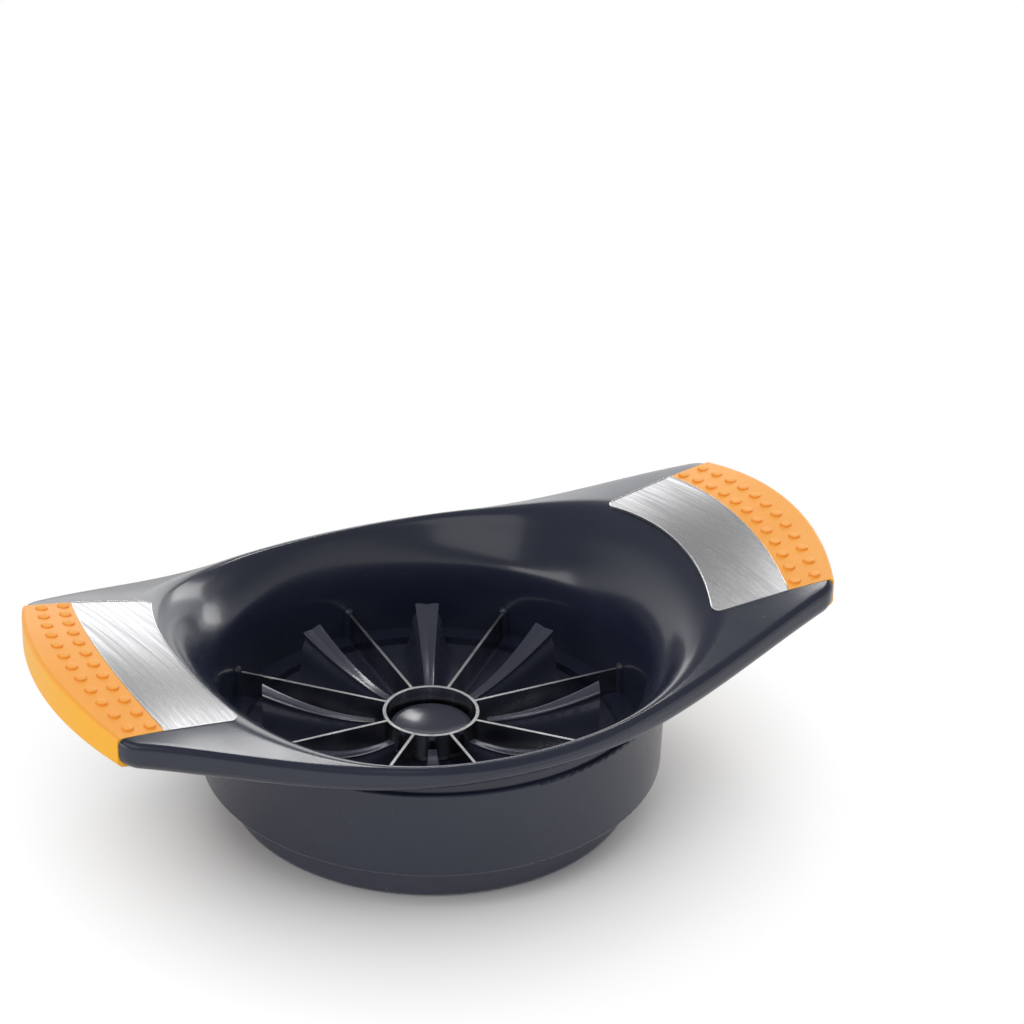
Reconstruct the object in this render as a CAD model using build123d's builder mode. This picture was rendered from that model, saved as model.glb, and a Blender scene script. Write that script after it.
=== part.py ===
# Apple slicer and corer on its pusher base, in mm, +Z up, handles along X.
# Origin: centre of the base's underside.  The slicer is modelled lowered on the base.
import os
from math import acos, atan2, cos, hypot, pi, radians, sin, tan

from build123d import *

# Ring: the opening that an apple goes through, and the walls around it
opening_radius = 57.5
wall_thickness = 2.9
wall_clearance = 0.3
collar_thickness = 2.3
collar_flare = 0.9
collar_height = 25.8
collar_edge_fillet = 1.0
ledge_drop = 3.0
ledge_thickness = 2.2
ledge_overlap = 3.6
neck_step = 2.2
neck_overlap = 4.0
rim_overhang = 4.7
rim_depth = 15.3
top_rise = 44.8
shoulder_fillet = 1.6

# Flare of the bowl: points as distance out from the opening and depth below top_rise
wall_bend_rise = 17.0
flare_start = (1.4, 17.8)
flare_knee = (7.7, 5.95)
flare_shoulder = (17.1, -4.1)
flare_exit_slope = 0.45

# Rim and handles
waist_arc_radius = 112.0
tip_reach = 110.2
tip_arc_radius = 98.0
tip_half_width = 38.5
tip_corner_fillet = 5.0
handle_lift = 8.4
handle_lift_start = 38.0
handle_lift_span = 78.0
crown_radius = 238.0
under_lift = 13.6
under_lift_start = 30.0
under_lift_span = 95.0
top_edge_fillet = 1.1
under_edge_fillet = 2.0

# Soft grips over the tips
grip_length = 16.7
grip_under_length = 15.2
grip_sagitta = 3.7
grip_skin = 2.2
grip_tip_skin = 2.6
grip_gap = 0.1
grip_half_width = 35.3
nub_count = 12
nub_margin = 2.05
nub_sphere_radius = 2.4
nub_rise = 0.55
nub_row_insets = (13.0, 7.0)
nub_row_radius = 130.0

# Steel plates let into the handles
plate_thickness = 0.8
plate_gap = 0.1
plate_reach = 16.9
plate_sagitta = 6.5
plate_spread = 0.105
plate_corner_fillet = 2.4

# Blades and coring tube
blade_count = 8
blade_thickness = 0.8
blade_height = 8.4
blade_bite = 1.5
blade_bevel_height = 1.6
blade_edge_width = 0.2
valley_clearance = 1.0
slot_gap = 0.05
tube_outer_radius = 13.2
tube_wall = 0.9
tab_height = 4.2
rib_radius = 1.8
rib_inset = 1.1
rib_proud = 1.2

# Base
base_clearance = 5.1
base_height = 14.7
base_wall = 2.5
base_foot_width = 5.6
base_floor_fillet = 2.4
base_rim_fillet = 0.5
flute_clearance = 6.0
flute_tube_gap = 2.2
flute_start = 10.0
flute_overrun = 4.0
flute_foot = 3.0
crest_outer_rise = 16.2
crest_inner_rise = 6.6
crest_curve = 1.7
core_skin = 3.0
core_start_radius = 25.0
core_start_half = 0.9
core_end_half = 2.6
hub_clearance = 1.0
hub_rise = 5.0
hub_edge_fillet = 0.43
hub_lip = 1.3
hub_dish = 1.6
notch_half_angle = 16.0
notch_ramp_angle = 4.5
notch_depth = 2.6

# Flank of a ridge, from the valley's floor to the crest, as shares of half width and height
flank = ((0.4, 0), (0.55, 0.05), (0.66, 0.2), (0.735, 0.5), (0.785, 0.78), (0.84, 0.94), (1, 1))

# How far the cutting and building forms run past what they shape
loft_margin = 7.8
sky_margin = 25.0
overshoot = 1.0

# Radii, from the opening outwards and inwards
wall_outer_radius = opening_radius + wall_thickness
collar_bore_radius = wall_outer_radius + wall_clearance
collar_foot_radius = collar_bore_radius + collar_thickness
collar_top_radius = collar_foot_radius + collar_flare
neck_radius = wall_outer_radius + neck_step
waist_half_width = neck_radius + rim_overhang
base_radius = collar_bore_radius - base_clearance
ledge_inner_radius = base_radius - ledge_overlap
flute_outer_radius = ledge_inner_radius - flute_clearance
base_hollow_radius = base_radius - base_foot_width
blade_end_radius = opening_radius + blade_bite
rib_centre_radius = blade_end_radius - rib_inset
tube_inner_radius = tube_outer_radius - tube_wall
flute_inner_radius = tube_outer_radius + flute_tube_gap
hub_radius = tube_inner_radius - hub_clearance
boss_radius = hub_radius + base_wall

# Heights above the collar's foot, which hangs below the base's rim
ring_z = base_height - ledge_drop
seat_rise = ledge_drop + ledge_thickness
blade_foot_rise = ledge_drop + valley_clearance
blade_top_rise = blade_foot_rise + blade_height
rib_dome_rise = blade_top_rise + rib_proud
under_rise = top_rise - rim_depth
neck_top_rise = under_rise + neck_overlap
sky_z = ring_z + top_rise + handle_lift + sky_margin

# Reach of the forms that the rim and handles are cut from
loft_reach = tip_reach + loft_margin
loft_half_width = waist_half_width + loft_margin


def tip_x(y, inset=0):
    """Reach of the tip's arc at y, drawn in by inset."""
    return tip_reach - tip_arc_radius + ((tip_arc_radius - inset) ** 2 - y**2) ** 0.5


def handle_top(x):
    """Height of the handles' centre line at x, above the collar's foot."""
    along = min(max((abs(x) - handle_lift_start) / handle_lift_span, 0), 1)
    return top_rise + handle_lift * (1 - cos(pi * along)) / 2


def handle_under(x):
    """Height of the handles' underside at x, above the collar's foot."""
    along = min(max((abs(x) - under_lift_start) / under_lift_span, 0), 1)
    return under_rise + under_lift * (1 - cos(pi * along)) / 2


def crown_drop(y):
    """How far the crowned top falls from its centre line at y."""
    return crown_radius - (crown_radius**2 - y**2) ** 0.5


def crest_rise(r):
    """Height of a ridge's crest above the base's rim at radius r."""
    along = max((r - flute_inner_radius) / (flute_outer_radius - flute_inner_radius), 0)
    return crest_inner_rise + (crest_outer_rise - crest_inner_rise) * along**crest_curve


def rise(radius, height):
    """A profile point from its radius and its height above the collar's foot."""
    return (radius, ring_z + height)


def spread_out(start, end, count):
    """Evenly spaced values from start to end."""
    return [start + (end - start) * i / (count - 1) for i in range(count)]


def crowned_form(depth, far_z):
    """The solid between the crowned top, lowered by depth, and the level far_z."""
    right_stations = spread_out(handle_lift_start, loft_reach, 6)
    with BuildPart(mode=Mode.PRIVATE) as form:
        for x in [-x for x in reversed(right_stations)] + [0] + right_stations:
            peak = ring_z + handle_top(x) - depth
            edge = peak - crown_drop(loft_half_width)
            with BuildSketch(Plane(origin=(x, 0, 0), x_dir=(0, 1, 0), z_dir=(1, 0, 0))):
                with BuildLine():
                    ThreePointArc((-loft_half_width, edge), (0, peak), (loft_half_width, edge))
                    Polyline(
                        (loft_half_width, edge),
                        (loft_half_width, far_z),
                        (-loft_half_width, far_z),
                        (-loft_half_width, edge),
                    )
                make_face()
        loft()
    return form.part


# Plan of the handles: a flat arc at each waist, straight sides that leave it, arced tips
corner_x, corner_y = tip_x(tip_half_width), tip_half_width
waist_centre_y = waist_half_width - waist_arc_radius
corner_turn = atan2(corner_x, corner_y - waist_centre_y)
side_turn = corner_turn - acos(waist_arc_radius / hypot(corner_x, corner_y - waist_centre_y))
waist_x = waist_arc_radius * sin(side_turn)
waist_y = waist_centre_y + waist_arc_radius * cos(side_turn)
with BuildSketch() as outline:
    with BuildLine():
        for way in (1, -1):
            ThreePointArc(
                (-way * waist_x, way * waist_y),
                (0, way * waist_half_width),
                (way * waist_x, way * waist_y),
            )
            Line((way * waist_x, way * waist_y), (way * corner_x, way * corner_y))
            ThreePointArc(
                (way * corner_x, way * corner_y),
                (way * tip_reach, 0),
                (way * corner_x, -way * corner_y),
            )
            Line((way * corner_x, -way * corner_y), (way * waist_x, -way * waist_y))
    make_face()
    tip_corners = outline.vertices().filter_by(lambda v: abs(v.X) > (waist_x + corner_x) / 2)
    fillet(tip_corners, tip_corner_fillet)

# Rim and handles: one crowned slab with a smooth underside
with BuildPart() as slab:
    add(crowned_form(0, ring_z))
    with BuildSketch(Plane.XZ.offset(-loft_half_width)):
        with BuildLine():
            under_xs = spread_out(-loft_reach - overshoot, loft_reach + overshoot, 13)
            under_points = [(x, ring_z + handle_under(x)) for x in under_xs]
            Spline(*under_points)
            Polyline(
                under_points[-1],
                (under_points[-1][0], 0),
                (under_points[0][0], 0),
                under_points[0],
            )
        make_face()
    extrude(amount=2 * loft_half_width, mode=Mode.SUBTRACT)
    with BuildSketch():
        add(outline.sketch)
    extrude(amount=sky_z, mode=Mode.INTERSECT)
    underside = slab.faces().filter_by(GeomType.EXTRUSION).sort_by(SortBy.AREA)[-1]
    fillet(underside.edges(), under_edge_fillet)
    crown = slab.faces().filter_by(GeomType.BSPLINE).sort_by(SortBy.AREA)[-1]
    fillet(crown.edges(), top_edge_fillet)

# Bowl wall with its neck, which stands in the collar
with BuildPart() as wall:
    with BuildSketch(Plane.XZ):
        with BuildLine():
            Polyline(
                rise(ledge_inner_radius, seat_rise),
                rise(wall_outer_radius, seat_rise),
                rise(wall_outer_radius, collar_height),
                rise(neck_radius, collar_height),
                rise(neck_radius, neck_top_rise),
                rise(ledge_inner_radius, neck_top_rise),
                close=True,
            )
        make_face()
    revolve(axis=Axis.Z)

# Everything the bowl opens out: straight bore, flare, then a shoulder over the handles
with BuildPart() as bowl:
    with BuildSketch(Plane.XZ):
        with BuildLine():
            bore = Line(rise(opening_radius, 0), rise(opening_radius, wall_bend_rise))
            flare_points = [
                rise(opening_radius + out, top_rise - below)
                for out, below in (flare_start, flare_knee, flare_shoulder)
            ]
            flare = Spline(bore @ 1, *flare_points, tangents=[(0, 1), (1, flare_exit_slope)])
            exit_run = sky_margin / 2
            leave = flare @ 1 + Vector(exit_run, exit_run * flare_exit_slope)
            Polyline(flare @ 1, leave, (leave.X, sky_z), (0, sky_z), (0, ring_z), bore @ 0)
        make_face()
    revolve(axis=Axis.Z)

with BuildPart() as bowl_body:
    add(slab.part)
    add(wall.part)
    add(bowl.part, mode=Mode.SUBTRACT)
    crown = bowl_body.faces().filter_by(GeomType.BSPLINE).sort_by(SortBy.AREA)[-1]
    fillet(crown.inner_wires()[0].edges(), shoulder_fillet)

# Corners of the right-hand plate, whose outer end is also the grip's edge
plate_outer_middle = tip_reach - grip_length
plate_outer_x = plate_outer_middle - grip_sagitta
plate_inner_middle = opening_radius + plate_reach
plate_inner_x = plate_inner_middle - plate_sagitta
plate_inner_y = grip_half_width - plate_spread * (plate_outer_x - plate_inner_x)


def plate_plan(gap):
    """Plan of the right-hand plate, grown by gap all round."""
    with BuildSketch(mode=Mode.PRIVATE) as plan:
        with BuildLine():
            ThreePointArc(
                (plate_inner_x, plate_inner_y),
                (plate_inner_middle, 0),
                (plate_inner_x, -plate_inner_y),
            )
            Line((plate_inner_x, -plate_inner_y), (plate_outer_x, -grip_half_width))
            ThreePointArc(
                (plate_outer_x, -grip_half_width),
                (plate_outer_middle, 0),
                (plate_outer_x, grip_half_width),
            )
            Line((plate_outer_x, grip_half_width), (plate_inner_x, plate_inner_y))
        make_face()
        inner_corners = plan.vertices().sort_by(Axis.X)[:2]
        fillet(inner_corners, plate_corner_fillet)
        if gap > 0:
            offset(amount=gap)
    return plan.sketch


def grip_plan(gap):
    """Plan of the right-hand grip, from the plate's edge out past the tip, grown by gap."""
    near_y = grip_half_width + gap
    far_y = near_y + plate_spread * (loft_reach - plate_outer_x)
    with BuildSketch(mode=Mode.PRIVATE) as plan:
        with BuildLine():
            ThreePointArc(
                (plate_outer_x - gap, near_y),
                (plate_outer_middle - gap, 0),
                (plate_outer_x - gap, -near_y),
            )
            Polyline(
                (plate_outer_x - gap, -near_y),
                (loft_reach, -far_y),
                (loft_reach, far_y),
                (plate_outer_x - gap, near_y),
            )
        make_face()
    return plan.sketch


def tongue_form(gap):
    """The core of a handle's tip that the grip wraps, swollen by gap."""
    half_width = loft_half_width / 2
    inset = grip_tip_skin - gap
    end_x = tip_x(half_width, inset)
    with BuildPart(mode=Mode.PRIVATE) as form:
        add(crowned_form(grip_skin - gap, 0))
        with BuildSketch():
            with BuildLine():
                ThreePointArc((end_x, half_width), (tip_x(0, inset), 0), (end_x, -half_width))
                Polyline(
                    (end_x, -half_width),
                    (plate_inner_x, -half_width),
                    (plate_inner_x, half_width),
                    (end_x, half_width),
                )
            make_face()
        extrude(amount=sky_z, mode=Mode.INTERSECT)
        with BuildSketch(Plane.XZ.offset(-loft_half_width)):
            with BuildLine():
                start_x = tip_reach - grip_under_length + gap
                lip_xs = spread_out(start_x, loft_reach, 5)
                lip_points = [(x, ring_z + handle_under(x) + grip_skin - gap) for x in lip_xs]
                Spline(*lip_points)
                Polyline(lip_points[-1], (loft_reach, 0), (start_x, 0), lip_points[0])
            make_face()
        extrude(amount=2 * loft_half_width, mode=Mode.SUBTRACT)
    return form.part


# Pockets that the right-hand plate and grip take out of the housing
with BuildPart() as grip_pocket:
    with BuildSketch():
        add(grip_plan(0))
    extrude(amount=sky_z)
    add(tongue_form(0), mode=Mode.SUBTRACT)
with BuildPart() as plate_pocket:
    with BuildSketch():
        add(plate_plan(plate_gap))
    extrude(amount=sky_z)
    add(crowned_form(plate_thickness + slot_gap, 0), mode=Mode.SUBTRACT)

with BuildPart() as housing:
    add(bowl_body.part)
    for pocket in (grip_pocket.part, plate_pocket.part):
        add(pocket, mode=Mode.SUBTRACT)
        add(pocket.mirror(Plane.YZ), mode=Mode.SUBTRACT)
    # Ribs with domed heads, which hold the blades' ends
    with PolarLocations(rib_centre_radius, blade_count):
        with Locations((0, 0, ring_z + seat_rise)):
            Cylinder(rib_radius, rib_dome_rise - seat_rise, align=(Align.CENTER, Align.CENTER, Align.MIN))
        with Locations((0, 0, ring_z + rib_dome_rise)):
            Sphere(rib_radius)
    slot_reach = blade_end_radius + slot_gap - ledge_inner_radius
    with PolarLocations(ledge_inner_radius, blade_count):
        with Locations((0, 0, ring_z)):
            Box(
                slot_reach,
                blade_thickness + 2 * slot_gap,
                blade_top_rise + slot_gap,
                align=(Align.MIN, Align.CENTER, Align.MIN),
                mode=Mode.SUBTRACT,
            )
housing.part.label = "housing"

# Collar: the skirt under the rim, with the ledge that carries wall and blades
with BuildPart() as collar:
    with BuildSketch(Plane.XZ):
        with BuildLine():
            Polyline(
                rise(collar_bore_radius, 0),
                rise(collar_foot_radius, 0),
                rise(collar_top_radius, collar_height),
                rise(collar_bore_radius, collar_height),
                rise(collar_bore_radius, seat_rise),
                rise(ledge_inner_radius, seat_rise),
                rise(ledge_inner_radius, ledge_drop),
                rise(collar_bore_radius, ledge_drop),
                close=True,
            )
        make_face()
    revolve(axis=Axis.Z)
    circles = collar.edges().filter_by(GeomType.CIRCLE)
    outer_edges = circles.filter_by(lambda e: e.radius > (collar_bore_radius + collar_foot_radius) / 2)
    fillet(outer_edges, collar_edge_fillet)
    with PolarLocations(ledge_inner_radius - overshoot, blade_count):
        with Locations((0, 0, ring_z + blade_foot_rise - slot_gap)):
            Box(
                slot_reach + overshoot,
                blade_thickness + 2 * slot_gap,
                ledge_thickness,
                align=(Align.MIN, Align.CENTER, Align.MIN),
                mode=Mode.SUBTRACT,
            )
collar.part.label = "collar"

# Coring tube, bevelled below, with slots for the blades' tabs
with BuildPart() as core_tube:
    with BuildSketch(Plane.XZ):
        with BuildLine():
            Polyline(
                rise(tube_inner_radius, blade_foot_rise),
                rise(tube_inner_radius + blade_edge_width, blade_foot_rise),
                rise(tube_outer_radius, blade_foot_rise + blade_bevel_height),
                rise(tube_outer_radius, blade_top_rise),
                rise(tube_inner_radius, blade_top_rise),
                close=True,
            )
        make_face()
    revolve(axis=Axis.Z)
    with PolarLocations(tube_inner_radius - overshoot, blade_count):
        with Locations((0, 0, ring_z + blade_foot_rise)):
            Box(
                tube_wall + 2 * overshoot,
                blade_thickness + 2 * slot_gap,
                tab_height,
                align=(Align.MIN, Align.CENTER, Align.MIN),
                mode=Mode.SUBTRACT,
            )
core_tube.part.label = "core_tube"

# One blade: ground to an edge below, with a tab that goes through the tube's wall
with BuildPart() as blade:
    half = blade_thickness / 2
    edge_half = blade_edge_width / 2
    with BuildSketch(Plane.YZ.offset(tube_inner_radius)):
        with BuildLine():
            Polyline(
                rise(-edge_half, blade_foot_rise),
                rise(edge_half, blade_foot_rise),
                rise(half, blade_foot_rise + blade_bevel_height),
                rise(half, blade_top_rise),
                rise(-half, blade_top_rise),
                rise(-half, blade_foot_rise + blade_bevel_height),
                close=True,
            )
        make_face()
    extrude(amount=blade_end_radius - tube_inner_radius)
    with Locations((0, 0, ring_z + blade_foot_rise + tab_height - slot_gap)):
        Box(
            2 * (tube_outer_radius + slot_gap),
            2 * blade_thickness,
            blade_height,
            align=(Align.CENTER, Align.CENTER, Align.MIN),
            mode=Mode.SUBTRACT,
        )

# Right-hand plate, as thick as the crowned form lowered by its thickness leaves it
with BuildPart() as plate:
    with BuildSketch():
        add(plate_plan(0))
    extrude(amount=sky_z)
    add(crowned_form(0, 0), mode=Mode.INTERSECT)
    add(crowned_form(plate_thickness, 0), mode=Mode.SUBTRACT)

# A nub, cut flat inside the grip's skin
with BuildPart() as nub:
    with Locations((0, 0, nub_rise - nub_sphere_radius)):
        Sphere(nub_sphere_radius)
    split(bisect_by=Plane.XY.offset(-grip_skin / 2), keep=Keep.TOP)

# Right-hand grip: a cap over the tip with two rows of nubs
with BuildPart() as grip:
    with BuildSketch():
        add(grip_plan(-grip_gap))
    extrude(amount=sky_z)
    add(slab.part, mode=Mode.INTERSECT)
    add(tongue_form(slot_gap), mode=Mode.SUBTRACT)
    row_half_turn = (grip_half_width - nub_margin) / nub_row_radius
    for inset in nub_row_insets:
        centre_x = tip_reach - inset - nub_row_radius
        for turn in spread_out(-row_half_turn, row_half_turn, nub_count):
            x = centre_x + nub_row_radius * cos(turn)
            y = nub_row_radius * sin(turn)
            with Locations((x, y, ring_z + handle_top(x) - crown_drop(y))):
                add(nub.part)

# Base: a disc with a notch in its rim
with BuildPart() as disc:
    Cylinder(base_radius, base_height, align=(Align.CENTER, Align.CENTER, Align.MIN))
    fillet(disc.edges().sort_by(Axis.Z)[0], base_floor_fillet)
    fillet(disc.faces().sort_by(Axis.Z)[-1].edges(), base_rim_fillet)

# One share of the pusher, from crest to crest with the valley of one blade between
half_turn = pi / blade_count
with BuildPart() as flute:
    for r in spread_out(flute_start, flute_outer_radius + flute_overrun, 6):
        half_width = r * tan(half_turn)
        side = [(u * half_width, v * crest_rise(hypot(r, u * half_width))) for u, v in flank]
        with BuildSketch(Plane(origin=(r, 0, base_height), x_dir=(0, 1, 0), z_dir=(1, 0, 0))):
            with BuildLine():
                Spline(*side, tangents=[(1, 0), (1, 0)])
                Spline(*[(-y, z) for y, z in side], tangents=[(-1, 0), (-1, 0)])
                Line((-side[0][0], 0), side[0])
                Polyline(
                    side[-1],
                    (half_width, -flute_foot),
                    (-half_width, -flute_foot),
                    (-half_width, side[-1][1]),
                )
            make_face()
    loft()

with BuildPart() as cluster:
    with PolarLocations(0, blade_count):
        add(flute.part)
    with BuildSketch():
        Circle(flute_outer_radius)
    extrude(amount=base_height + 2 * crest_outer_rise, mode=Mode.INTERSECT)
    with BuildSketch(Plane.XY.offset(base_height)):
        Circle(flute_inner_radius)
    extrude(amount=crest_outer_rise, mode=Mode.SUBTRACT)

# Space inside the base: an open underside and a pocket up into each ridge
with BuildPart() as hollow:
    with BuildSketch(Plane.XZ):
        with BuildLine():
            roof_rs = [0] + spread_out(flute_inner_radius, flute_outer_radius - core_skin, 4)
            roof = [(r, base_height + crest_rise(r) - core_skin) for r in roof_rs]
            Spline(*roof)
            Polyline(roof[-1], (roof[-1][0], 0), (0, 0), roof[0])
        make_face()
    revolve(axis=Axis.Z)
    with BuildSketch():
        with PolarLocations(0, blade_count, start_angle=180 / blade_count):
            Polygon(
                (core_start_radius, -core_start_half),
                (flute_outer_radius, -core_end_half),
                (flute_outer_radius, core_end_half),
                (core_start_radius, core_start_half),
                align=None,
            )
    extrude(amount=base_height + crest_outer_rise, mode=Mode.INTERSECT)
    for radius, roof_z in (
        (base_hollow_radius, base_height - notch_depth - base_wall),
        (flute_outer_radius - base_wall, base_height - base_wall),
    ):
        with BuildSketch():
            Circle(radius)
            Circle(boss_radius, mode=Mode.SUBTRACT)
        extrude(amount=roof_z)

with BuildPart() as notch:
    with BuildSketch(Plane.XZ):
        with BuildLine():
            floor_half = base_radius * sin(radians(notch_half_angle))
            mouth_half = base_radius * sin(radians(notch_half_angle + notch_ramp_angle))
            floor_z = base_height - notch_depth
            Polyline(
                (-floor_half, floor_z),
                (floor_half, floor_z),
                (mouth_half, base_height),
                (mouth_half, base_height + overshoot),
                (-mouth_half, base_height + overshoot),
                (-mouth_half, base_height),
                close=True,
            )
        make_face()
    extrude(amount=base_radius + overshoot)
    with BuildSketch():
        Circle(flute_outer_radius)
    extrude(amount=base_height + 2 * overshoot, mode=Mode.SUBTRACT)

with BuildPart() as base:
    add(disc.part)
    add(cluster.part)
    with BuildSketch(Plane.XY.offset(base_height)):
        Circle(hub_radius)
    extrude(amount=hub_rise)
    hub_circles = base.edges().filter_by(GeomType.CIRCLE).filter_by(lambda e: e.radius < flute_inner_radius)
    fillet(hub_circles.sort_by(Axis.Z)[-1], hub_edge_fillet)
    add(hollow.part, mode=Mode.SUBTRACT)
    add(notch.part, mode=Mode.SUBTRACT)
    dish_half = hub_radius - hub_lip
    dish_radius = (dish_half**2 + hub_dish**2) / (2 * hub_dish)
    with Locations((0, 0, base_height + hub_rise - hub_dish + dish_radius)):
        Sphere(dish_radius, mode=Mode.SUBTRACT)
base.part.label = "base"

pieces = [housing.part, collar.part, core_tube.part, base.part]

# Plates and grips come in pairs, one for each handle
for name, right in (("plate", plate.part), ("grip", grip.part)):
    for hand, piece in (("right", right), ("left", right.mirror(Plane.YZ))):
        piece.label = f"{name}_{hand}"
        pieces.append(piece)

for i in range(blade_count):
    turned = blade.part.rotate(Axis.Z, i * 360 / blade_count)
    turned.label = f"blade_{i + 1}"
    pieces.append(turned)

os.makedirs("parts", exist_ok=True)
for piece in pieces:
    export_step(piece, f"parts/{piece.label}.step")
    print(piece.label, round(piece.volume / 1000, 2), "cm3", "valid" if piece.is_valid else "NOT VALID")
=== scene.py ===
import math

import bmesh
import bpy
from mathutils import Matrix, Vector
from mathutils.bvhtree import BVHTree


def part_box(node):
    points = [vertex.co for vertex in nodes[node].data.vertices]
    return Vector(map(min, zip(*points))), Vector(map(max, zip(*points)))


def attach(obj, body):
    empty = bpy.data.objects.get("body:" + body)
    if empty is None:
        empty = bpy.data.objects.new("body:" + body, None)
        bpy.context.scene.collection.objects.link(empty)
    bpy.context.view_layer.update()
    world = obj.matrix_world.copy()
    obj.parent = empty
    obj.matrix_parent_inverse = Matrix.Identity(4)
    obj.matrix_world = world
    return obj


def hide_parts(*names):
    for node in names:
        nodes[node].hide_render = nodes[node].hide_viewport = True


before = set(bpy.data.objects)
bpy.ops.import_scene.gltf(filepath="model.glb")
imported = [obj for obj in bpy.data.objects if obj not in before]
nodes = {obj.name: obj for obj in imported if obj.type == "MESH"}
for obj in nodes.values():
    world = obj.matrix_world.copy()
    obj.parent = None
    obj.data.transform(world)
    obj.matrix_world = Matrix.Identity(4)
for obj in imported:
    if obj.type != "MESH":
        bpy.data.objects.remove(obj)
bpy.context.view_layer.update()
scene = bpy.context.scene
print("frame loaded")


class Wire:  # one socket, with the sums that the finishes use
    def __init__(self, tree, socket):
        self.tree = tree
        self.socket = socket

    def join(self, operation, first, second):
        return self.tree.node("ShaderNodeMath", {"operation": operation}, {0: first, 1: second})

    def __add__(self, other):
        return self.join("ADD", self, other)

    def __radd__(self, other):
        return self.join("ADD", other, self)

    def __mul__(self, other):
        return self.join("MULTIPLY", self, other)

    def __rmul__(self, other):
        return self.join("MULTIPLY", other, self)

    def __pow__(self, other):
        return self.join("POWER", self, other)

    def __rpow__(self, other):
        return self.join("POWER", other, self)

    def __abs__(self):
        return self.tree.node("ShaderNodeMath", {"operation": "ABSOLUTE"}, {0: self})


class Tree:  # the nodes of one material or of the world
    def __init__(self, owner):
        owner.use_nodes = True
        self.tree = owner.node_tree
        self.tree.nodes.clear()

    def feed(self, socket, value):
        if isinstance(value, Wire):
            self.tree.links.new(value.socket, socket)
        else:
            socket.default_value = value

    def node(self, kind, settings=None, inputs=None, output=0):
        made = self.tree.nodes.new(kind)
        for key, value in (settings or {}).items():
            setattr(made, key, value)
        for key, value in (inputs or {}).items():
            self.feed(made.inputs[key], value)
        return Wire(self, made.outputs[output])

    def axes(self, source="Object"):
        place = self.node("ShaderNodeTexCoord", output=source)
        split = self.node("ShaderNodeSeparateXYZ", None, {0: place})
        return [Wire(self, split.socket.node.outputs[i]) for i in range(3)]

    def noise(self, vector, scale, detail, roughness=0.5):
        return self.node(
            "ShaderNodeTexNoise", None,
            {"Vector": vector, "Scale": scale, "Detail": detail, "Roughness": roughness})

    def streaks(self, places, scales, detail, roughness):
        drawn = [place * scale for place, scale in zip(places, scales)]
        vector = self.node("ShaderNodeCombineXYZ", None, {0: drawn[0], 1: drawn[1], 2: drawn[2]})
        return self.noise(vector, 1.0, detail, roughness)

    def spread(self, value, low, high, toLow, toHigh):
        return self.node(
            "ShaderNodeMapRange", {"clamp": True}, {0: value, 1: low, 2: high, 3: toLow, 4: toHigh})

    def blend(self, share, first, second):
        return self.node("ShaderNodeMix", {"data_type": "RGBA"}, {0: share, 6: first, 7: second}, 2)

    def mixShaders(self, share, first, second):
        return self.node("ShaderNodeMixShader", None, {0: share, 1: first, 2: second})


class Finish(Tree):  # one material around a Principled shader
    def __init__(self, name, **inputs):
        self.material = bpy.data.materials.new(name)
        super().__init__(self.material)
        self.output = self.tree.nodes.new("ShaderNodeOutputMaterial")
        self.shader = self.tree.nodes.new("ShaderNodeBsdfPrincipled")
        self.tree.links.new(self.shader.outputs[0], self.output.inputs[0])
        for key, value in inputs.items():
            self.set(key.replace("_", " "), value)

    def set(self, name, value):
        self.feed(self.shader.inputs[name], value)

    def place(self):
        return self.node("ShaderNodeTexCoord", output="Object")

    def bump(self, height, distance, strength):
        self.set("Normal", self.node(
            "ShaderNodeBump", None, {"Height": height, "Distance": distance, "Strength": strength}))


def colour(red, green, blue):
    return (red, green, blue, 1.0)


# In the looks, a noise is its scale, detail and roughness, and a span is the part of a pattern
# that is spread over the whole range
plasticLook = {
    "body": colour(0.014, 0.019, 0.038),
    "bodyWorn": colour(0.018, 0.023, 0.044),
    "base": colour(0.030, 0.034, 0.058),
    "baseWorn": colour(0.036, 0.040, 0.066),
    "wornSpan": (0.35, 0.75),
    "bodyCoat": 0.35,
    "baseCoat": 0.45,
    "coatRoughness": 0.12,
    "ior": 1.5,
    "roughness": (0.22, 0.28),
    "roughSpan": (0.35, 0.65),
    "clouds": (38.0, 4.0, 0.6),
    "grain": (150.0, 3.0, 0.55),
    "grainShare": 0.3,
    "grainDepth": 0.00002,
    "grainStrength": 0.12,
}


def makePlastic(name, main, worn, coat):
    look = plasticLook
    made = Finish(name, IOR=look["ior"], Coat_Weight=coat, Coat_Roughness=look["coatRoughness"])
    place = made.place()
    clouds = made.noise(place, *look["clouds"])
    grain = made.noise(place, *look["grain"])
    wear = made.spread(clouds, *look["wornSpan"], 0.0, 1.0)
    uneven = (1 - look["grainShare"]) * clouds + look["grainShare"] * grain
    made.set("Base Color", made.blend(wear, main, worn))
    made.set("Roughness", made.spread(uneven, *look["roughSpan"], *look["roughness"]))
    made.bump(grain, look["grainDepth"], look["grainStrength"])
    return made.material


steelLook = {
    "side": colour(0.34, 0.34, 0.35),
    "sideStreak": colour(0.60, 0.60, 0.61),
    # near-white colour painted on the flat upward and downward faces as a highlight
    "edge": colour(0.93, 0.93, 0.94),
    "flatHighlightSpan": (0.7, 0.95),
    "streakSpan": (0.38, 0.62),
    "roughness": (0.16, 0.30),
    "roughSpan": (0.35, 0.65),
    "streakScales": (5.0, 60.0, 25.0),  # round the axis, outwards and upwards
    "streakNoise": (3.0, 0.6),
    "smears": (130.0, 3.0),
    "smearShare": 0.4,
    "lineDepth": 0.00001,
    "lineStrength": 0.4,
}


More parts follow.
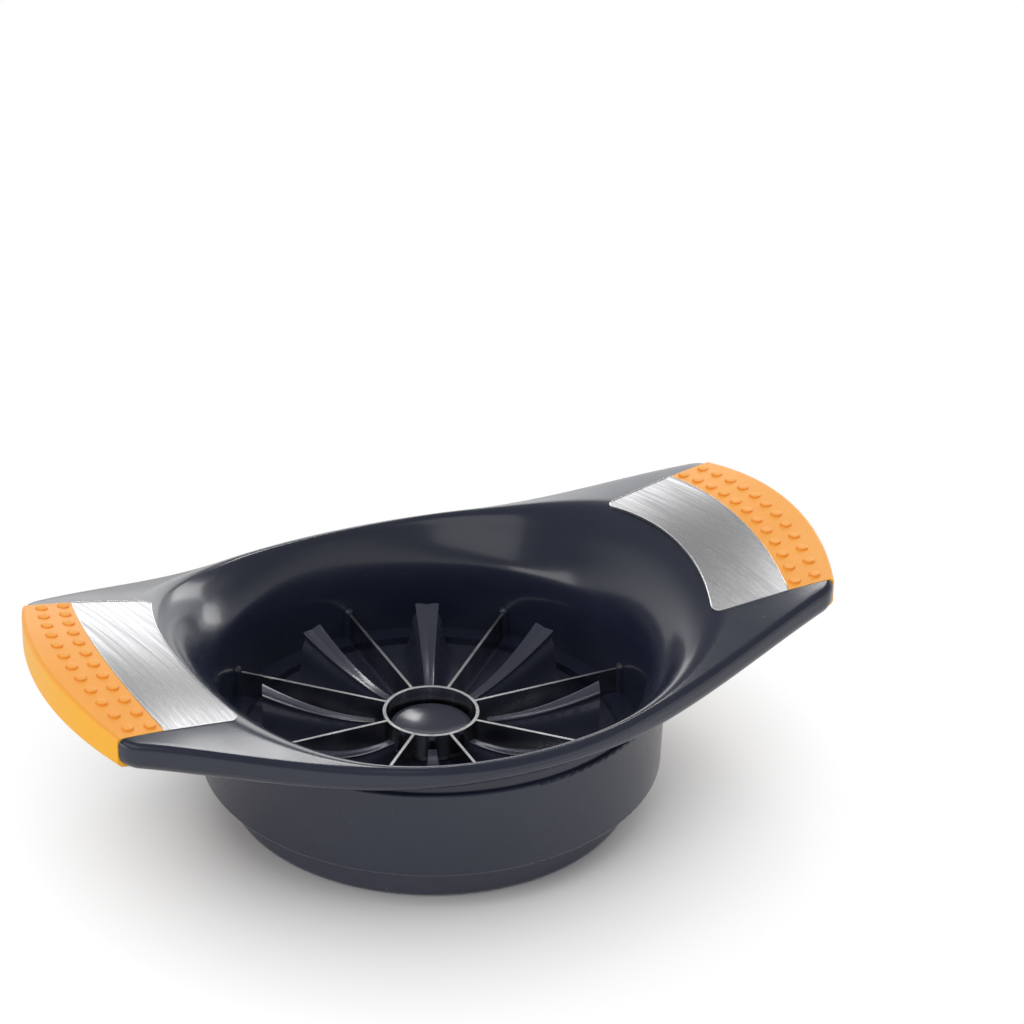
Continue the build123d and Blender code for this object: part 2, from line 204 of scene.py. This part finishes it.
def makeSteel(name):
    look = steelLook
    made = Finish(name, Metallic=1.0)
    x, y, z = made.axes()
    reach = (x * x + y * y) ** 0.5
    turn = made.node("ShaderNodeMath", {"operation": "ARCTAN2"}, {0: y, 1: x})
    streaks = made.streaks((turn, reach, z), look["streakScales"], *look["streakNoise"])
    smears = made.noise(made.place(), *look["smears"])
    uneven = (1 - look["smearShare"]) * streaks + look["smearShare"] * smears
    # Faces that point straight up or down, the top and bottom edges of the blades and the tube, get the
    # near-white colour as a painted highlight
    upward = made.spread(abs(made.axes("Normal")[2]), *look["flatHighlightSpan"], 0.0, 1.0)
    streaked = made.spread(streaks, *look["streakSpan"], 0.0, 1.0)
    side = made.blend(streaked, look["side"], look["sideStreak"])
    made.set("Base Color", made.blend(upward, side, look["edge"]))
    made.set("Roughness", made.spread(uneven, *look["roughSpan"], *look["roughness"]))
    made.bump(streaks, look["lineDepth"], look["lineStrength"])
    return made.material


plateLook = {
    "light": colour(0.66, 0.66, 0.67),
    "dark": colour(0.38, 0.38, 0.39),
    "streakSpan": (0.38, 0.62),
    "roughness": (0.22, 0.36),
    "roughSpan": (0.35, 0.65),
    "slant": 0.19,
    "fineScales": (4200.0, 45.0, 40.0),  # across the brushing, along it and upwards
    "fineNoise": (4.0, 0.7),
    "broadScales": (900.0, 26.0, 20.0),
    "broadNoise": (3.0, 0.6),
    "fineShare": 0.5,
    "grainDepth": 0.00002,
    "grainStrength": 0.5,
}


def makeBrushedPlate(name):
    look = plateLook
    made = Finish(name, Metallic=1.0)
    x, y, z = made.axes()
    across = x + look["slant"] * y  # the brushing runs a little askew of the handle
    fine = made.streaks((across, y, z), look["fineScales"], *look["fineNoise"])
    broad = made.streaks((across, y, z), look["broadScales"], *look["broadNoise"])
    streaks = look["fineShare"] * fine + (1 - look["fineShare"]) * broad
    streaked = made.spread(streaks, *look["streakSpan"], 0.0, 1.0)
    low, high = look["roughness"]
    made.set("Base Color", made.blend(streaked, look["dark"], look["light"]))
    made.set("Roughness", made.spread(streaks, *look["roughSpan"], high, low))
    made.bump(streaks, look["grainDepth"], look["grainStrength"])
    return made.material


gripLook = {
    "top": colour(1.0, 0.42, 0.055),
    # a darker orange painted on the sloped flanks of the studs as shade
    "cloud": colour(0.95, 0.34, 0.03),
    "flank": colour(0.93, 0.24, 0.008),
    # a brighter, yellower orange painted on steep faces, the tip face and the grip's sides, as painted
    # light
    "tip": colour(1.0, 0.47, 0.010),
    "flankSpan": (0.78, 0.95),
    "tipLightSpan": (0.25, 0.6),
    "cloudSpan": (0.4, 0.75),
    "cloudShare": 0.35,
    "clouds": (60.0, 3.0),
    "ior": 1.48,
    "roughness": (0.36, 0.48),
    "roughSpan": (0.3, 0.7),
    "grain": (1400.0, 2.0),
    "grainDepth": 0.00002,
    "grainStrength": 0.4,
}


def makeGrip(name, flank):
    look = gripLook
    made = Finish(name, IOR=look["ior"])
    place = made.place()
    clouds = made.noise(place, *look["clouds"])
    grain = made.noise(place, *look["grain"])
    upward = made.axes("Normal")[2]
    clouded = made.spread(clouds, *look["cloudSpan"], 0.0, look["cloudShare"])
    top = made.blend(clouded, look["top"], look["cloud"])
    # Sloped faces, the flanks of the studs, take the darker flank colour as painted shade
    sloped = made.blend(made.spread(upward, *look["flankSpan"], 1.0, 0.0), top, flank)
    # Steep faces, the tip and the sides of the grip, take the yellower tip colour as painted light
    steep = made.spread(upward, *look["tipLightSpan"], 1.0, 0.0)
    made.set("Base Color", made.blend(steep, sloped, look["tip"]))
    made.set("Roughness", made.spread(grain, *look["roughSpan"], *look["roughness"]))
    made.bump(grain, look["grainDepth"], look["grainStrength"])
    return made.material


bodyPlastic = makePlastic(
    "bodyPlastic", plasticLook["body"], plasticLook["bodyWorn"], plasticLook["bodyCoat"])
basePlastic = makePlastic(
    "basePlastic", plasticLook["base"], plasticLook["baseWorn"], plasticLook["baseCoat"])
polishedSteel = makeSteel("polishedSteel")
brushedPlate = makeBrushedPlate("brushedPlate")
# The grip's own material gets its top colour on sloped faces, so no shade is painted there; the studs'
# material paints their sloped flanks the darker orange as shade
gripRubber = makeGrip("gripRubber", gripLook["top"])
studRubber = makeGrip("studRubber", gripLook["flank"])


def finishNode(name, material):
    slots = nodes[name].material_slots
    for slot in slots:
        slot.material = material
    if not slots:
        nodes[name].data.materials.append(material)


finishNode("housing", bodyPlastic)
finishNode("collar", bodyPlastic)
finishNode("base", basePlastic)
finishNode("core_tube", polishedSteel)
for name in nodes:
    if name.startswith("blade_"):
        finishNode(name, polishedSteel)
for hand in ("right", "left"):
    finishNode("plate_" + hand, brushedPlate)
    finishNode("grip_" + hand, gripRubber)
print("finishes on the packed nodes")


metresPerMillimetre = 0.001
sharpAngle = math.radians(50)  # edges bent more than this keep a crease


def ringAt(shape, centre, radius, height, around):
    turns = [2 * math.pi * i / around for i in range(around)]
    return [
        shape.verts.new(centre + Vector((radius * math.cos(turn), radius * math.sin(turn), height)))
        for turn in turns]


def closeDome(shape, peak, rings):
    around = len(rings[0])
    for i in range(around):
        j = (i + 1) % around
        shape.faces.new((peak, rings[0][i], rings[0][j]))
        for upper, lower in zip(rings, rings[1:]):
            shape.faces.new((upper[i], lower[i], lower[j], upper[j]))


def finishMesh(name, shape, material):
    data = bpy.data.meshes.new(name)
    shape.to_mesh(data)
    shape.free()
    for face in data.polygons:
        face.use_smooth = True
    data.set_sharp_from_angle(angle=sharpAngle)
    data.materials.append(material)
    piece = bpy.data.objects.new(name, data)
    scene.collection.objects.link(piece)
    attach(piece, "slicer")
    return piece


# The housing's moulded shell: a crown over the handles that rolls into the flare of the bowl.
# Lengths are in millimetres, and heights are above footZ, the foot of the ring
shellLook = {
    "footZ": 11.7,
    "openingRadius": 57.5,
    "wallRadius": 60.4,
    "neckRadius": 62.6,
    "wallFoot": 5.2,
    "wallRows": (9.0, 13.0),
    "neckFoot": 23.0,
    "bend": 17.0,
    "topRise": 44.8,
    "flareReach": 12.6,
    "flareBow": 0.5,
    "cornerDrop": 5.0,
    "cornerStart": (26.0, 38.0),
    "rollAtWaist": 1.6,
    "rollAtHandles": 6.0,
    "waistArc": 112.0,
    "waistHalfWidth": 66.8,
    "tipReach": 109.9,
    "tipArc": 98.0,
    "tipHalfWidth": 39.6,
    "cornerRound": 7.0,
    "handleLift": (8.4, 38.0, 78.0),  # rise, where it starts and how far it runs
    "crownRadius": 238.0,
    "underRise": 29.7,
    "underLift": (13.4, 30.0, 95.0),
    "topRound": 1.9,
    "underRound": 3.8,
    "plateProud": 0.12,
}

# How finely the shell is drawn: steps along a quarter of its outline, and rows in each section
shellSteps = {"waist": 26, "side": 24, "corner": 12, "tip": 18}
shellRows = {
    "search": 0.1,
    "flare": 18,
    "flareGather": 2,
    "crown": 22,
    "crownGather": 1.5,
    "round": 7,
    "edgeShares": (0.33, 0.67),
    "under": 10,
}


def rampAt(value, start, span):
    return min(max((value - start) / span, 0), 1)


def liftAt(x, lift, start, span):
    return lift * (1 - math.cos(math.pi * rampAt(abs(x), start, span))) / 2


def crownAt(x, y):
    look = shellLook
    drop = look["crownRadius"] - (look["crownRadius"] ** 2 - y ** 2) ** 0.5
    return look["topRise"] + liftAt(x, *look["handleLift"]) - drop - look["plateProud"]


def underAt(x):
    return shellLook["underRise"] + liftAt(x, *shellLook["underLift"])


def flareAt(x, y):
    look = shellLook
    reach = max(math.hypot(x, y) - look["openingRadius"], 0) / look["flareReach"]
    level = look["bend"] + (look["topRise"] - look["bend"]) * reach ** look["flareBow"]
    start, end = look["cornerStart"]
    corner = math.sin(2 * math.atan2(y, x)) ** 2
    return level - look["cornerDrop"] * rampAt(level, start, end - start) * corner


# The lower of crown and flare, rolled into each other where they are near
def topAt(x, y):
    look = shellLook
    towardsHandle = (x / math.hypot(x, y)) ** 2
    roll = look["rollAtWaist"] + (look["rollAtHandles"] - look["rollAtWaist"]) * towardsHandle
    crown, flare = crownAt(x, y), flareAt(x, y)
    near = max(roll - abs(crown - flare), 0) / roll
    return min(crown, flare) - near ** 2 * roll / 4


def quarterOutline():
    look, steps = shellLook, shellSteps
    tipCentre = Vector((look["tipReach"] - look["tipArc"], 0))
    tipEdge = tipCentre.x + (look["tipArc"] ** 2 - look["tipHalfWidth"] ** 2) ** 0.5
    corner = Vector((tipEdge, look["tipHalfWidth"]))
    waistCentre = Vector((0, look["waistHalfWidth"] - look["waistArc"]))
    away = corner - waistCentre
    sideTurn = math.atan2(away.x, away.y) - math.acos(look["waistArc"] / away.length)
    out = Vector((math.sin(sideTurn), math.cos(sideTurn)))
    waist = waistCentre + out * look["waistArc"]
    along = (corner - waist).normalized()
    # The corner's rounding touches both the straight side and the tip's arc
    start = waist - out * look["cornerRound"] - tipCentre
    half = start.dot(along)
    innerArc = look["tipArc"] - look["cornerRound"]
    run = -half + (half ** 2 - start.length_squared + innerArc ** 2) ** 0.5
    roundCentre = waist + along * run - out * look["cornerRound"]
    toRound = roundCentre - tipCentre
    tipTurn = math.atan2(toRound.x, toRound.y)
    outline = []

    def addArc(centre, radius, first, last, count):
        for i in range(count):
            turn = first + (last - first) * i / count
            facing = Vector((math.sin(turn), math.cos(turn)))
            outline.append((centre + facing * radius, facing))

    addArc(waistCentre, look["waistArc"], 0, sideTurn, steps["waist"])
    for i in range(steps["side"]):
        outline.append((waist + along * (run * i / steps["side"]), out))
    addArc(roundCentre, look["cornerRound"], sideTurn, tipTurn, steps["corner"])
    addArc(tipCentre, look["tipArc"], tipTurn, math.pi / 2, steps["tip"])
    outline.append((Vector((look["tipReach"], 0)), Vector((1, 0))))
    return outline


def wholeOutline():
    quarter = quarterOutline()
    outline = []
    for sideX, sideY, way in ((1, 1, 1), (1, -1, -1), (-1, -1, 1), (-1, 1, -1)):
        for point, out in quarter[::way][:-1]:
            outline.append((
                Vector((sideX * point.x, sideY * point.y)), Vector((sideX * out.x, sideY * out.y))))
    return outline


# One section from the bowl's wall over the lip and the edge to the wall's outer side
def sectionPoints(edge, out):
    look, rows = shellLook, shellRows
    spoke = edge.normalized()
    bore = spoke * look["openingRadius"]
    topInner = edge - out * look["topRound"]
    underInner = edge - out * look["underRound"]
    points = []

    def add(place, height):
        points.append(Vector((place.x, place.y, look["footZ"] + height)) * metresPerMillimetre)

    for height in (look["wallFoot"], *look["wallRows"], look["bend"]):
        add(bore, height)
    radius = look["openingRadius"]
    while flareAt(*(spoke * radius)) < crownAt(*(spoke * radius)) and radius < topInner.length:
        radius += rows["search"]
    lip = spoke * radius
    for i in range(1, rows["flare"] + 1):
        place = bore.lerp(lip, (i / rows["flare"]) ** rows["flareGather"])
        add(place, topAt(*place))
    for i in range(1, rows["crown"] + 1):
        place = lip.lerp(topInner, (i / rows["crown"]) ** rows["crownGather"])
        add(place, topAt(*place))
    for i in range(1, rows["round"] + 1):
        turn = math.pi / 2 * i / rows["round"]
        place = edge - out * look["topRound"] * (1 - math.sin(turn))
        add(place, topAt(*place) - look["topRound"] * (1 - math.cos(turn)))
    top = topAt(*edge) - look["topRound"]
    under = underAt(edge.x) + look["underRound"]
    for share in rows["edgeShares"]:
        add(edge, top + (under - top) * share)
    for i in range(rows["round"] + 1):
        turn = math.pi / 2 * i / rows["round"]
        place = edge - out * look["underRound"] * (1 - math.cos(turn))
        add(place, underAt(place.x) + look["underRound"] * (1 - math.sin(turn)))
    neck = spoke * look["neckRadius"]
    for i in range(1, rows["under"] + 1):
        place = underInner.lerp(neck, i / rows["under"])
        add(place, underAt(place.x))
    wall = spoke * look["wallRadius"]
    add(neck, look["neckFoot"])
    add(wall, look["neckFoot"])
    add(wall, look["wallFoot"])
    return points


# The round ribs on the bowl's wall, one over the end of each blade, in millimetres
ribLook = {
    "centre": 57.9,
    "radius": 1.8,
    "foot": 5.2,
    "shoulder": 12.2,
    "count": 8,
    "around": 28,
    "capRows": 9,
}


def addRibs(shape):
    look = ribLook
    radius, shoulder = look["radius"], look["shoulder"]
    profile = [(radius, look["foot"])]
    for i in range(look["capRows"]):
        bow = math.pi / 2 * i / look["capRows"]
        profile.append((radius * math.cos(bow), shoulder + radius * math.sin(bow)))
    for rib in range(look["count"]):
        turn = 2 * math.pi * rib / look["count"]
        away = Vector((math.cos(turn), math.sin(turn), 0)) * look["centre"]
        centre = (away + Vector((0, 0, shellLook["footZ"]))) * metresPerMillimetre
        rings = [
            ringAt(shape, centre, reach * metresPerMillimetre, height * metresPerMillimetre, look["around"])
            for reach, height in reversed(profile)]
        peak = centre + Vector((0, 0, (shoulder + radius) * metresPerMillimetre))
        closeDome(shape, shape.verts.new(peak), rings)
        shape.faces.new(rings[-1][::-1])


def makeShell(material):
    shape = bmesh.new()
    rows = [[shape.verts.new(place) for place in sectionPoints(*spot)] for spot in wholeOutline()]
    for here, there in zip(rows, rows[1:] + rows[:1]):
        for i in range(len(here)):
            j = (i + 1) % len(here)
            shape.faces.new((here[i], here[j], there[j], there[i]))
    bmesh.ops.recalc_face_normals(shape, faces=shape.faces)
    addRibs(shape)
    shell = finishMesh("housing_shell", shape, material)
    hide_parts("housing")


makeShell(bodyPlastic)
print("shell of the housing made")


# Rolled edge around each steel plate, which catches the light as a fine line
beadLook = {
    "radius": 0.00016,
    "resolution": 3,
    "finish": colour(0.90, 0.90, 0.91),
    "roughness": 0.18,
    "weld": 1e-6,
    "topFacesUp": 0.9,  # least upward part of a top face's direction, and most of a side face's
    "sideFacesUp": 0.5,
}


def plateOutline(name):
    look = beadLook
    shape = bmesh.new()
    shape.from_mesh(nodes[name].data)
    bmesh.ops.remove_doubles(shape, verts=shape.verts, dist=look["weld"])
    nextTo = {}
    for edge in shape.edges:
        upward = sorted(face.normal.z for face in edge.link_faces)
        if len(upward) == 2 and upward[1] > look["topFacesUp"] and abs(upward[0]) < look["sideFacesUp"]:
            for here, there in (edge.verts, reversed(edge.verts)):
                nextTo.setdefault(here, []).append(there)
    here = next(iter(nextTo))
    walked = [here]
    while True:
        ahead = [vert for vert in nextTo[here] if vert not in walked]
        if not ahead:
            break
        here = ahead[0]
        walked.append(here)
    outline = [vert.co.copy() for vert in walked]
    shape.free()
    return outline


def makeEdgeBead(hand, material):
    outline = plateOutline("plate_" + hand)
    data = bpy.data.curves.new("plate_edge_" + hand, "CURVE")
    data.dimensions = "3D"
    data.bevel_depth = beadLook["radius"]
    data.bevel_resolution = beadLook["resolution"]
    line = data.splines.new("POLY")
    line.points.add(len(outline) - 1)
    for point, place in zip(line.points, outline):
        point.co = (*place, 1)
    line.use_cyclic_u = True
    bead = bpy.data.objects.new("plate_edge_" + hand, data)
    scene.collection.objects.link(bead)
    data.materials.append(material)
    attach(bead, "slicer")


# Round studs over the grips' nubs, in two curved rows a side, in metres
studLook = {
    "radius": 0.00178,
    "rise": 0.00055,
    "steepness": 5,
    "rings": 9,
    "ringGather": 0.6,
    "around": 28,
    "sink": 0.0003,
    "perRow": 12,
    "rowRadius": 0.130,
    "rowInsets": (0.0130, 0.0070),
    "rowEnd": 0.03325,
}


def addStud(shape, top):
    look = studLook
    rings = []
    for ring in range(1, look["rings"] + 1):
        share = (ring / look["rings"]) ** look["ringGather"]
        drop = look["rise"] * share ** look["steepness"]
        if ring == look["rings"]:
            drop += look["sink"]  # the foot goes a little into the grip
        rings.append(ringAt(shape, top, look["radius"] * share, -drop, look["around"]))
    closeDome(shape, shape.verts.new(top), rings)


def makeStuds(hand, side, material):
    look = studLook
    low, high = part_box("grip_" + hand)
    tip = high.x if side > 0 else -low.x
    ground = BVHTree.FromObject(nodes["grip_" + hand], bpy.context.evaluated_depsgraph_get())
    shape = bmesh.new()
    lastTurn = look["rowEnd"] / look["rowRadius"]
    for inset in look["rowInsets"]:
        for i in range(look["perRow"]):
            turn = lastTurn * (2 * i / (look["perRow"] - 1) - 1)
            x = side * (tip - inset - look["rowRadius"] * (1 - math.cos(turn)))
            y = look["rowRadius"] * math.sin(turn)
            top = ground.ray_cast(Vector((x, y, 1)), Vector((0, 0, -1)))[0]
            addStud(shape, top)
    finishMesh("studs_" + hand, shape, material)


beadSteel = Finish(
    "beadSteel", Metallic=1.0, Base_Color=beadLook["finish"], Roughness=beadLook["roughness"]).material
for hand, side in (("right", 1), ("left", -1)):
    makeEdgeBead(hand, beadSteel)
    makeStuds(hand, side, studRubber)
print("plate edges and grip studs made")


stageLook = {
    "floorSize": 6.0,
    "floorColour": colour(0.93, 0.93, 0.93),
    "floorRoughness": 0.45,
    "floorIor": 1.3,
    "floorFade": (0.058, 0.115),  # how far out the floor's shade gives way to the backdrop
    "backdrop": colour(1, 1, 1),
    "backdropGlow": 1.0,
    "worldFill": 0.68,
    "horizonSheen": 1.0,
    "zenithSheen": 0.25,
    "sheenFade": (0.05, 0.48),
}


def makeFloor():
    look = stageLook
    bpy.ops.mesh.primitive_plane_add(size=look["floorSize"])
    floor = bpy.context.object
    floor.name = "floor"
    made = Finish("paleFloor", Roughness=look["floorRoughness"], IOR=look["floorIor"])
    made.set("Base Color", look["floorColour"])
    x, y, z = made.axes()
    far = made.spread((x * x + y * y) ** 0.5, *look["floorFade"], 0.0, 1.0)
    camera = made.node("ShaderNodeLightPath", output="Is Camera Ray")
    backdrop = {"Color": look["backdrop"], "Strength": look["backdropGlow"]}
    glow = made.node("ShaderNodeEmission", None, backdrop)
    mixed = made.mixShaders(far * camera, Wire(made, made.shader.outputs[0]), glow)
    made.feed(made.output.inputs[0], mixed)
    floor.data.materials.append(made.material)


def makeWorld():
    look = stageLook
    world = bpy.data.worlds.new("studio")
    scene.world = world
    made = Tree(world)
    output = made.tree.nodes.new("ShaderNodeOutputWorld")
    height = made.axes("Generated")[2]
    sheen = made.spread(height, *look["sheenFade"], look["horizonSheen"], look["zenithSheen"])
    layers = {
        "Is Glossy Ray": sheen,
        "Is Transmission Ray": look["backdropGlow"],
        "Is Camera Ray": look["backdropGlow"],
    }
    seen = made.node("ShaderNodeBackground", None, {0: look["backdrop"], 1: look["worldFill"]})
    for ray, strength in layers.items():
        layer = made.node("ShaderNodeBackground", None, {0: look["backdrop"], 1: strength})
        seen = made.mixShaders(made.node("ShaderNodeLightPath", output=ray), seen, layer)
    made.feed(output.inputs[0], seen)


# Lamps by compass bearing from +Y towards +X and by height, in degrees, and by how bright they look
lampLook = {
    "lipSheen": {"bearing": 41, "height": 46, "distance": 1.1, "size": (0.17, 0.25), "glow": 9.5},
    "cheekSheen": {"bearing": 60, "height": 15, "distance": 1.2, "size": (0.60, 0.34), "glow": 3.4},
    "backWindow": {"bearing": 20, "height": 13, "distance": 1.3, "size": (0.80, 0.46), "glow": 1.55},
    "leftSoft": {"bearing": -95, "height": 12, "distance": 1.2, "size": (0.8, 0.4), "glow": 2.1},
    "frontSoft": {"bearing": -135, "height": 57, "distance": 1.2, "size": (1.0, 0.8), "glow": 0.9},
}
lampAim = Vector((0, 0, 0.1))


def towards(turn, height):
    return Vector((
        math.sin(turn) * math.cos(height), math.cos(turn) * math.cos(height), math.sin(height)))


def makeLamps():
    for name, look in lampLook.items():
        data = bpy.data.lights.new(name, "AREA")
        data.shape = "RECTANGLE"
        data.size, data.size_y = look["size"]
        data.energy = look["glow"] * math.pi * data.size * data.size_y
        lamp = bpy.data.objects.new(name, data)
        scene.collection.objects.link(lamp)
        away = towards(math.radians(look["bearing"]), math.radians(look["height"]))
        lamp.location = lampAim + away * look["distance"]
        lamp.rotation_mode = "QUATERNION"
        lamp.rotation_quaternion = (-away).to_track_quat("-Z", "Y")
        lamp.visible_camera = False


cameraLook = {
    "azimuth": -25.42,
    "elevation": 28.83,
    "roll": 0.99,
    "lens": 143.5,
    "sensorWidth": 36.0,
    "clip": (0.05, 20.0),
    "place": (-0.3888, -0.8674, 0.6095),
}


def makeCamera():
    look = cameraLook
    azimuth, elevation = math.radians(look["azimuth"]), math.radians(look["elevation"])
    back = towards(math.pi - azimuth, elevation)
    right = Vector((math.cos(azimuth), math.sin(azimuth), 0))
    up = back.cross(right)
    roll = math.radians(look["roll"])
    rolledRight = right * math.cos(roll) + up * math.sin(roll)
    rolledUp = up * math.cos(roll) - right * math.sin(roll)
    data = bpy.data.cameras.new("camera")
    data.lens = look["lens"]
    data.sensor_width = look["sensorWidth"]
    data.clip_start, data.clip_end = look["clip"]
    camera = bpy.data.objects.new("camera", data)
    scene.collection.objects.link(camera)
    frameAxes = Matrix((rolledRight, rolledUp, back)).transposed().to_4x4()
    camera.matrix_world = Matrix.Translation(look["place"]) @ frameAxes
    scene.camera = camera


makeFloor()
makeWorld()
makeLamps()
makeCamera()
scene.view_settings.view_transform = "Standard"
print("stage, lamps and camera ready")
